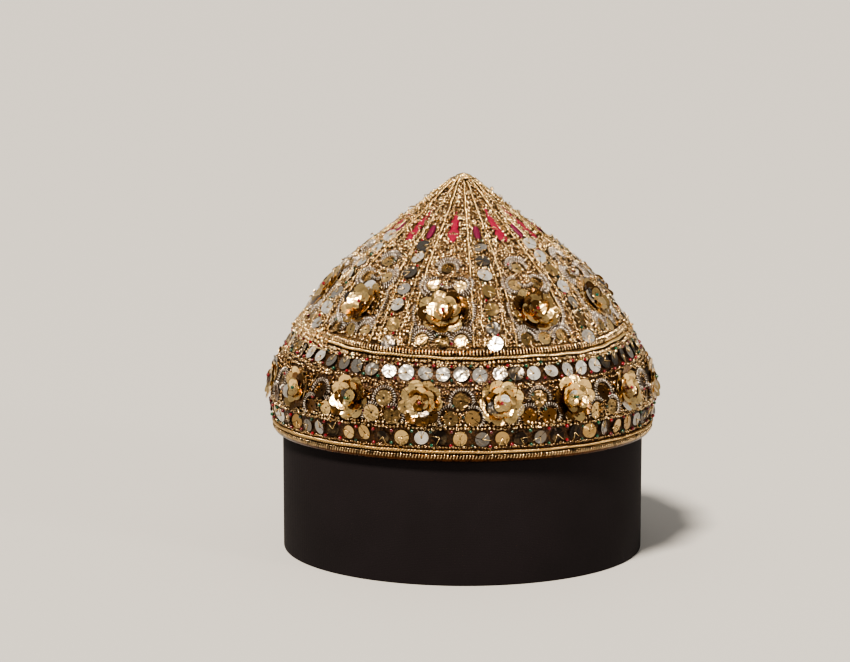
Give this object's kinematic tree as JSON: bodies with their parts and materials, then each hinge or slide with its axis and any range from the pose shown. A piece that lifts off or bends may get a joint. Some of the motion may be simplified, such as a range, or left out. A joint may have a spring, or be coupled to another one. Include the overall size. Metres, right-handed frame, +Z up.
{
  "type": "embroidered cap on a plain cylindrical stand",
  "caption": "Pointed, domed ceremonial cap worked all over in gilt thread, spangles, silver discs and beads, on the plain dark open drum that it is shown on.",
  "frame": {"origin": "centre of the drum stand's foot", "axes": "+Z up through the cap's point, -Y towards the front rib"},
  "size_m": [0.1974, 0.1976, 0.1869],
  "materials": {
    "gilt_ground": "quilted cloth closely covered with gilt metal thread",
    "gilt_cord": "gilt metal thread wound into cord",
    "silver_disc": "thin stamped silver, partly tarnished",
    "gilt_spangle": "cupped gilt spangles, bright",
    "pale_thread": "pale gilt cord wound into a button",
    "drum_cloth": "matte dark purplish brown cloth over board"
  },
  "bodies": {
    "root": {"crown": "gilt_ground", "side_band": "gilt_ground", "seam_cord": "gilt_cord", "seam_braid": "gilt_cord", "rim_cord": "gilt_cord", "rim_binding": "gilt_cord", "rib_01": "gilt_cord", "rib_02": "gilt_cord", "rib_03": "gilt_cord", "rib_04": "gilt_cord", "rib_05": "gilt_cord", "rib_06": "gilt_cord", "rib_07": "gilt_cord", "rib_08": "gilt_cord", "rib_09": "gilt_cord", "rib_10": "gilt_cord", "upper_disc_row": "silver_disc", "lower_disc_row": "silver_disc", "rib_discs_01": "silver_disc", "rib_discs_02": "silver_disc", "rib_discs_03": "silver_disc", "rib_discs_04": "silver_disc", "rib_discs_05": "silver_disc", "rib_discs_06": "silver_disc", "rib_discs_07": "silver_disc", "rib_discs_08": "silver_disc", "rib_discs_09": "silver_disc", "rib_discs_10": "silver_disc", "crown_flower_01": "gilt_spangle", "crown_flower_02": "gilt_spangle", "crown_flower_03": "gilt_spangle", "crown_flower_04": "gilt_spangle", "crown_flower_05": "gilt_spangle", "crown_flower_06": "gilt_spangle", "crown_flower_07": "gilt_spangle", "crown_flower_08": "gilt_spangle", "crown_flower_09": "gilt_spangle", "crown_flower_10": "gilt_spangle", "band_flower_01": "gilt_spangle", "band_flower_02": "gilt_spangle", "band_flower_03": "gilt_spangle", "band_flower_04": "gilt_spangle", "band_flower_05": "gilt_spangle", "band_flower_06": "gilt_spangle", "band_flower_07": "gilt_spangle", "band_flower_08": "gilt_spangle", "band_flower_09": "gilt_spangle", "band_flower_10": "gilt_spangle", "band_flower_11": "gilt_spangle", "band_flower_12": "gilt_spangle", "band_flower_13": "gilt_spangle", "band_flower_14": "gilt_spangle", "band_flower_15": "gilt_spangle", "band_flower_16": "gilt_spangle", "button": "pale_thread", "drum_stand": "drum_cloth"}
  },
  "joints": []
}
